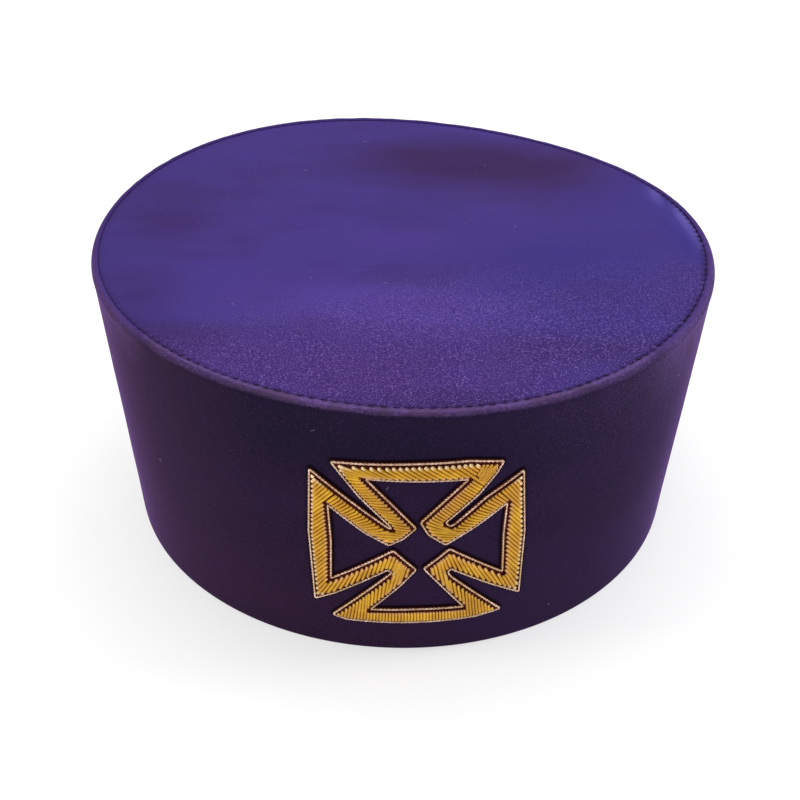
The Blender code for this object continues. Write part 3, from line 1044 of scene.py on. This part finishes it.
def wire_path(places, cords, thick, low_tail, low_head):
    """The bent line of one stitch over the pad, with blunt ends. A low end dips between its neighbours."""
    path = []
    last = len(places) - 1
    for index, place in enumerate(places):
        away = max(0.0, away_from(cords, place) - 0.5 * CORD_DIAMETER - 0.5 * EMBLEM_GAP)
        rise = math.sin(min(1.0, away / CREST_REACH) * math.pi / 2)
        out = WIRE_LOW + (WIRE_CREST - WIRE_LOW) * rise
        out -= low_tail * max(0, 2 - index) / 2 + low_head * max(0, 2 - last + index) / 2
        path.append((on_wall(*place, out), thick * (0.62 if index in (0, last) else 1.0)))
    return path


def beside(cord, place):
    """1 beside a cord, falling to nothing about two millimetres from it."""
    return near_seam(away_from(cord, place) - 0.0009, 0.0007)


def catches_light(place):
    """How brightly a stitch's end by the outer cord shines here: fully by the top, left and right bars."""
    far = max(abs(place[0]), place[1]) / EMBLEM_HALF
    return 0.3 + 0.7 * held((far - 0.82) / 0.08)


def cross_stitches(finish):
    """All the gold wire stitches, joined in one piece. A long one is sewn as two that meet on the pad."""
    chance = random.Random(11)
    clear = CORD_DIAMETER / 2 + EMBLEM_GAP / 2
    outer = sides_of(cord_loop(OUTER))
    inner = sides_of(cord_loop(INNER))
    sides = sides_of(inset(cord_loop(OUTER), clear)) + sides_of(inset(cord_loop(INNER), -clear))
    hub = (WIRE_FAN["hub"][0] * EMBLEM_HALF, WIRE_FAN["hub"][1] * EMBLEM_HALF)
    fan_side = (hub, step_from(hub, math.radians(WIRE_FAN["turn_from"]), 0.01))
    laid = []
    for pitch, keys in WIRE_ROWS:
        for ends, copper in row_of_stitches(keys, WIRE_PITCH * pitch, sides + [fan_side]):
            laid.append((ends, copper, pitch, 1.0))
    laid += [(ends, WIRE_FAN["copper"], 1.0, WIRE_FAN["glow"]) for ends in fan_of_stitches(hub, sides)]
    paths = []
    lengths = []
    values = []
    for (tail, head), copper, thick, glow in laid:
        length = math.dist(tail, head)
        if length < WIRE_SHORTEST:
            continue
        tone = chance.uniform(0.16, 0.72) - 0.3 * min(0.0, tail[1] / EMBLEM_HALF)
        pieces = [(tail, head, 0.0, 0.0)]
        if length > WIRE_LONGEST:
            cut = between(tail, head, chance.uniform(0.40, 0.60))
            pieces = [(tail, cut, 0.0, WIRE_DIP), (cut, head, WIRE_DIP, 0.0)]
        for start, end, low_tail, low_head in pieces:
            places = stitch_places(start, end)
            paths.append(wire_path(places, outer + inner, thick, low_tail, low_head))
            lengths.append(math.dist(start, end))
            # shine: painted highlight at the ends by the outer cord, below nothing beside the inner cord
            glows = [glow * catches_light(place) * beside(outer, place) for place in places]
            shine = [lit - beside(inner, place) for lit, place in zip(glows, places)]
            values.append((tone, copper, shine))
    mesh = threads("cross_wire_stitches", paths, WIRE_RADIUS, 2)
    rings = len(paths[0])
    each = len(mesh.vertices) // len(paths)
    names = ("tone", "copper", "shine", "crest")
    for name in names:
        mesh.attributes.new(name, "FLOAT", "POINT")
    layers = [mesh.attributes[name].data for name in names]
    for index, corner in enumerate(mesh.vertices):
        tone, copper, shine = values[index // each]
        ring = index % each * rings // each
        centre = paths[index // each][ring][0]
        out = Vector((centre.x, centre.y, 0.0)).normalized()
        # crest: how squarely this point faces out, for the painted highlight and shade
        crest = out.dot((corner.co - centre).normalized())
        for layer, value in zip(layers, (tone, copper, shine[ring], crest)):
            layer[index].value = value
    turns = mesh.uv_layers[0].data
    for loop in mesh.loops:
        turns[loop.index].uv.y *= lengths[loop.vertex_index // each]
    closed_up(mesh)
    made = piece_from(mesh, "gold_wire", finish)
    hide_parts("emblem_strip")


def twisted_cord(name, node, side, finish):
    """A cord of two strands twisted round each other, laid on the wall along a closed loop."""
    places = even_steps(rounded(cord_loop(side), CORD_TURN, 6), CORD_STEP)
    line = [on_wall(*place, EMBLEM_GAP + CORD_DIAMETER / 2) for place in places]
    out = [on_wall(*place, EMBLEM_GAP + CORD_DIAMETER) for place in places]
    total = sum((line[index - 1] - place).length for index, place in enumerate(line))
    samples = round(total / CORD_LAY) * STRAND_STEPS
    strands = []
    for strand in (0, 1):
        path = []
        for sample in range(samples):
            index, share = divmod(sample / samples * len(line), 1)
            index = int(index)
            following = (index + 1) % len(line)
            centre = line[index].lerp(line[following], share)
            heading = (line[following] - line[index - 1]).normalized()
            normal = (out[index].lerp(out[following], share) - centre).normalized()
            sideways = heading.cross(normal).normalized()
            angle = 2 * math.pi * (sample / STRAND_STEPS + strand / 2)
            swing = normal * math.cos(angle) + sideways * math.sin(angle)
            path.append((centre + swing * STRAND_OFFSET_SHARE * CORD_DIAMETER, 1.0))
        strands.append(path)
    mesh = threads(name, strands, STRAND_RADIUS_SHARE * CORD_DIAMETER, 1, cyclic=True)
    mesh.shade_smooth()
    made = piece_from(mesh, "gold_cord", finish)
    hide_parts(node)


def even_steps(loop, step):
    """Points about one step apart along a closed loop."""
    points = []
    for start, end in sides_of(loop):
        count = max(1, round(math.dist(start, end) / step))
        points += [between(start, end, number / count) for number in range(count)]
    return points


def seam_stitches(finish):
    """The small ladder stitches that draw the crown and the side together, sunk in the pile at the seam."""
    paths = []
    for stitch in range(SEAM_STITCHES):
        path = []
        for radius, sink in SEAM_STITCH:
            lean = 2 * math.pi * stitch / SEAM_STITCHES + radius * SEAM_STITCH_LEAN
            heading = Vector(round_cap(1.0, lean, 0.0))
            reach = SEAM_RADIUS + radius + seam_drift(heading, radius)
            sink += SEAM_STITCH_HIDES * (1 - seam_shows(heading.x, heading.y))
            path.append((settle(round_cap(reach, lean, HEIGHT - sink)), 1.0))
        paths.append(path)
    mesh = threads("seam_stitches", paths, SEAM_THREAD_RADIUS, 0)
    closed_up(mesh)
    piece_from(mesh, "side_velvet", finish)


def lint_fibres(finish):
    """A few loose pale fibres caught in the velvet, first those on the side and then those on the crown."""
    chance = random.Random(5)
    paths = []
    for fibre in range(SIDE_LINT + CROWN_LINT):
        turn = chance.uniform(0.0, math.pi)
        length = LINT_LENGTH * chance.uniform(0.25, 1.0)
        bend = chance.uniform(-0.3, 0.3) * length
        angle = chance.uniform(-math.pi, math.pi)
        height = chance.uniform(0.008, 0.086)
        reach = TOP_RADIUS * math.sqrt(chance.uniform(0.02, 0.80))
        path = []
        for step in range(5):
            share = step / 4 - 0.5
            side = share * length
            lift = bend * (0.25 - share * share)
            across = side * math.cos(turn) - lift * math.sin(turn)
            up = side * math.sin(turn) + lift * math.cos(turn)
            if fibre < SIDE_LINT:
                radius = wall_radius(height + up) + SIDE_LINT_PROUD
                place = round_cap(radius, angle + across / BASE_RADIUS, height + up)
            else:
                x = reach * math.sin(angle) + across
                y = reach * math.cos(angle) + up
                place = (x, y, HEIGHT - CROWN_SINK + CROWN_LINT_PROUD + crown_dent(x, y))
            path.append((settle(place), 1.0))
        paths.append(path)
    mesh = threads("lint_fibres", paths, LINT_RADIUS, 0)
    closed_up(mesh)
    piece_from(mesh, "side_velvet", finish)


def studio():
    """A plain pale floor, soft lights, and the camera at the photograph's angle."""
    shape = bmesh.new()
    bmesh.ops.create_grid(shape, x_segments=4, y_segments=4, size=FLOOR_HALF)
    bmesh.ops.translate(shape, verts=shape.verts, vec=(0.0, 0.0, -FLOOR_GAP))
    floor = placed(mesh_from("floor", shape))
    numbers = {
        "Roughness": 0.9,
        "Specular IOR Level": 0.1,
        "Emission Color": (1.0, 1.0, 1.0),
        "Emission Strength": FLOOR_GLOW,
    }
    paper = plain_finish("pale floor", 40.0, 2.0, (0.49, 0.49, 0.49), (0.51, 0.51, 0.51), numbers)
    floor.data.materials.append(paper)

    world = bpy.data.worlds.new("studio")
    bpy.context.scene.world = world
    world.use_nodes = True
    sky = world.node_tree.nodes["Background"]
    sky.inputs["Color"].default_value = (1.0, 1.0, 1.0, 1.0)
    sky.inputs["Strength"].default_value = WORLD_LIGHT
    for name, place, wide, tall, power, colour in STUDIO_LIGHTS:
        light = bpy.data.lights.new(name, "AREA")
        light.shape = "RECTANGLE"
        light.size = wide
        light.size_y = tall
        light.energy = power
        light.color = colour
        lamp = placed(light)
        lamp.location = place
        aim = Vector(LIGHTS_AIM) - lamp.location
        lamp.rotation_euler = aim.to_track_quat("-Z", "Y").to_euler()

    azimuth = math.radians(CAMERA_AZIMUTH)
    elevation = math.radians(CAMERA_ELEVATION)
    roll = math.radians(CAMERA_ROLL)
    back = Vector(round_cap(math.cos(elevation), azimuth, math.sin(elevation)))
    camera = placed(bpy.data.cameras.new("camera"))
    camera.data.lens = CAMERA_LENS
    camera.data.sensor_width = CAMERA_SENSOR
    turn = back.to_track_quat("Z", "Y").to_matrix().to_4x4() @ Matrix.Rotation(roll, 4, "Z")
    camera.matrix_world = Matrix.Translation(Vector(CAMERA_TARGET) + back * CAMERA_DISTANCE) @ turn
    bpy.context.scene.camera = camera
    bpy.context.scene.view_settings.view_transform = "Standard"


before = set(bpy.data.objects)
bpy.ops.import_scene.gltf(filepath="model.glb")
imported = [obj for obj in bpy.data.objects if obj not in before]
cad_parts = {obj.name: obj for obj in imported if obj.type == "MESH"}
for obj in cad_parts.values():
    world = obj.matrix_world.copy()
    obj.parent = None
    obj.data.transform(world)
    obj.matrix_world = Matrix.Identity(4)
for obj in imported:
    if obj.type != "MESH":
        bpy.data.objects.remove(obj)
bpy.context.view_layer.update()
studio()
backing = backing_cloth()
velvet_side(side_velvet(), backing)
velvet_crown(crown_velvet(), backing)
cross_pad(pad_felt())
cross_stitches(gold_wire())
cord_finish = cord_wire()
twisted_cord("cross_outer_cord", "emblem_outer_cord", OUTER, cord_finish)
twisted_cord("cross_inner_cord", "emblem_inner_cord", INNER, cord_finish)
thread_tones = ((0.010, 0.005, 0.016), (0.030, 0.016, 0.050))
seam_stitches(plain_finish("seam thread", 2400.0, 1.0, *thread_tones, {"Roughness": 0.7}))
lint_tones = ((0.20, 0.15, 0.30), (0.50, 0.45, 0.55))
lint_fibres(plain_finish("pale lint", 300.0, 1.0, *lint_tones, {"Roughness": 0.9}))
